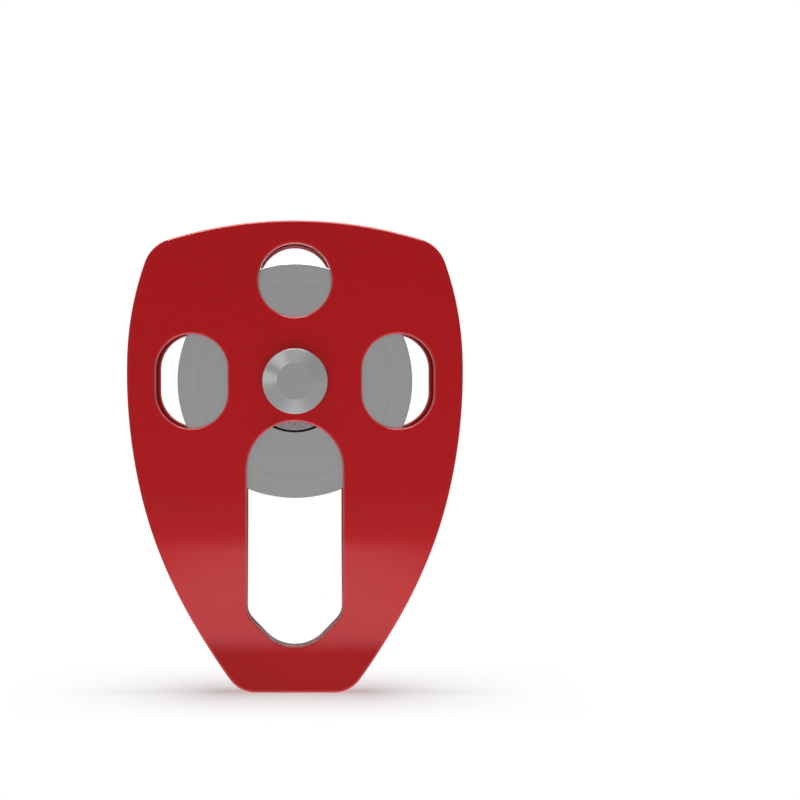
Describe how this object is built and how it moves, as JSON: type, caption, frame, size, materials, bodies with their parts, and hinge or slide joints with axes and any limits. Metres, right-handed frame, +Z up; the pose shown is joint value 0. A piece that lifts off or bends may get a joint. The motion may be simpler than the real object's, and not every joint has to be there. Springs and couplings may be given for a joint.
{
  "type": "rope pulley",
  "caption": "Climbing and rigging rope pulley: grooved sheave on ball bearings between two bent cheek plates, one of which swings on the axle, with a carabiner eye.",
  "frame": {"origin": "middle of the axle, halfway between the two cheeks", "axes": "+Y along the axle from the fixed front cheek to the swinging rear cheek, +Z up away from the carabiner eye, +X to the right seen from the front"},
  "size_m": [0.0722, 0.0346, 0.1028],
  "materials": {
    "cheek_plate": "red anodised, satin",
    "axle_steel": "turned stainless steel, satin",
    "sheave_metal": "polished groove, fine-turned sides",
    "washer_metal": "fine knurled, dull grey",
    "seal_rubber": "matt black",
    "bearing_steel": "ground bearing steel",
    "ball_steel": "polished bearing steel",
    "bearing_cage": "stamped brass",
    "bearing_shield": "pressed steel"
  },
  "bodies": {
    "root": {"front_cheek": "cheek_plate", "axle": "axle_steel", "axle_rear_cap": "axle_steel", "front_spacer_washer": "washer_metal", "rear_spacer_washer": "washer_metal", "front_dust_seal": "seal_rubber", "rear_dust_seal": "seal_rubber", "inner_ring_spacer": "bearing_steel", "front_bearing_inner_ring": "bearing_steel", "rear_bearing_inner_ring": "bearing_steel"},
    "wheel": {"sheave": "sheave_metal", "front_bearing_outer_ring": "bearing_steel", "front_bearing_outer_shield": "bearing_shield", "front_bearing_inner_shield": "bearing_shield", "rear_bearing_outer_ring": "bearing_steel", "rear_bearing_outer_shield": "bearing_shield", "rear_bearing_inner_shield": "bearing_shield"},
    "swing_cheek": {"rear_cheek": "cheek_plate"},
    "front_ball_set": {"front_bearing_balls": "ball_steel", "front_bearing_cage": "bearing_cage"},
    "rear_ball_set": {"rear_bearing_balls": "ball_steel", "rear_bearing_cage": "bearing_cage"}
  },
  "joints": [
    {"name": "sheave_spin", "type": "hinge", "parent": "root", "child": "wheel", "pos_m": [0, 0, 0], "axis": [0, 1, 0], "continuous": true},
    {"name": "cheek_swing", "type": "hinge", "parent": "root", "child": "swing_cheek", "pos_m": [0, 0, 0], "axis": [0, 1, 0], "continuous": true},
    {"name": "front_ball_orbit", "type": "hinge", "parent": "root", "child": "front_ball_set", "pos_m": [0, 0, 0], "axis": [0, 1, 0], "continuous": true},
    {"name": "rear_ball_orbit", "type": "hinge", "parent": "root", "child": "rear_ball_set", "pos_m": [0, 0, 0], "axis": [0, 1, 0], "continuous": true}
  ],
  "couplings": [
    {"joint": "front_ball_orbit", "follows": "sheave_spin", "ratio": 0.6323},
    {"joint": "rear_ball_orbit", "follows": "sheave_spin", "ratio": 0.6323}
  ]
}
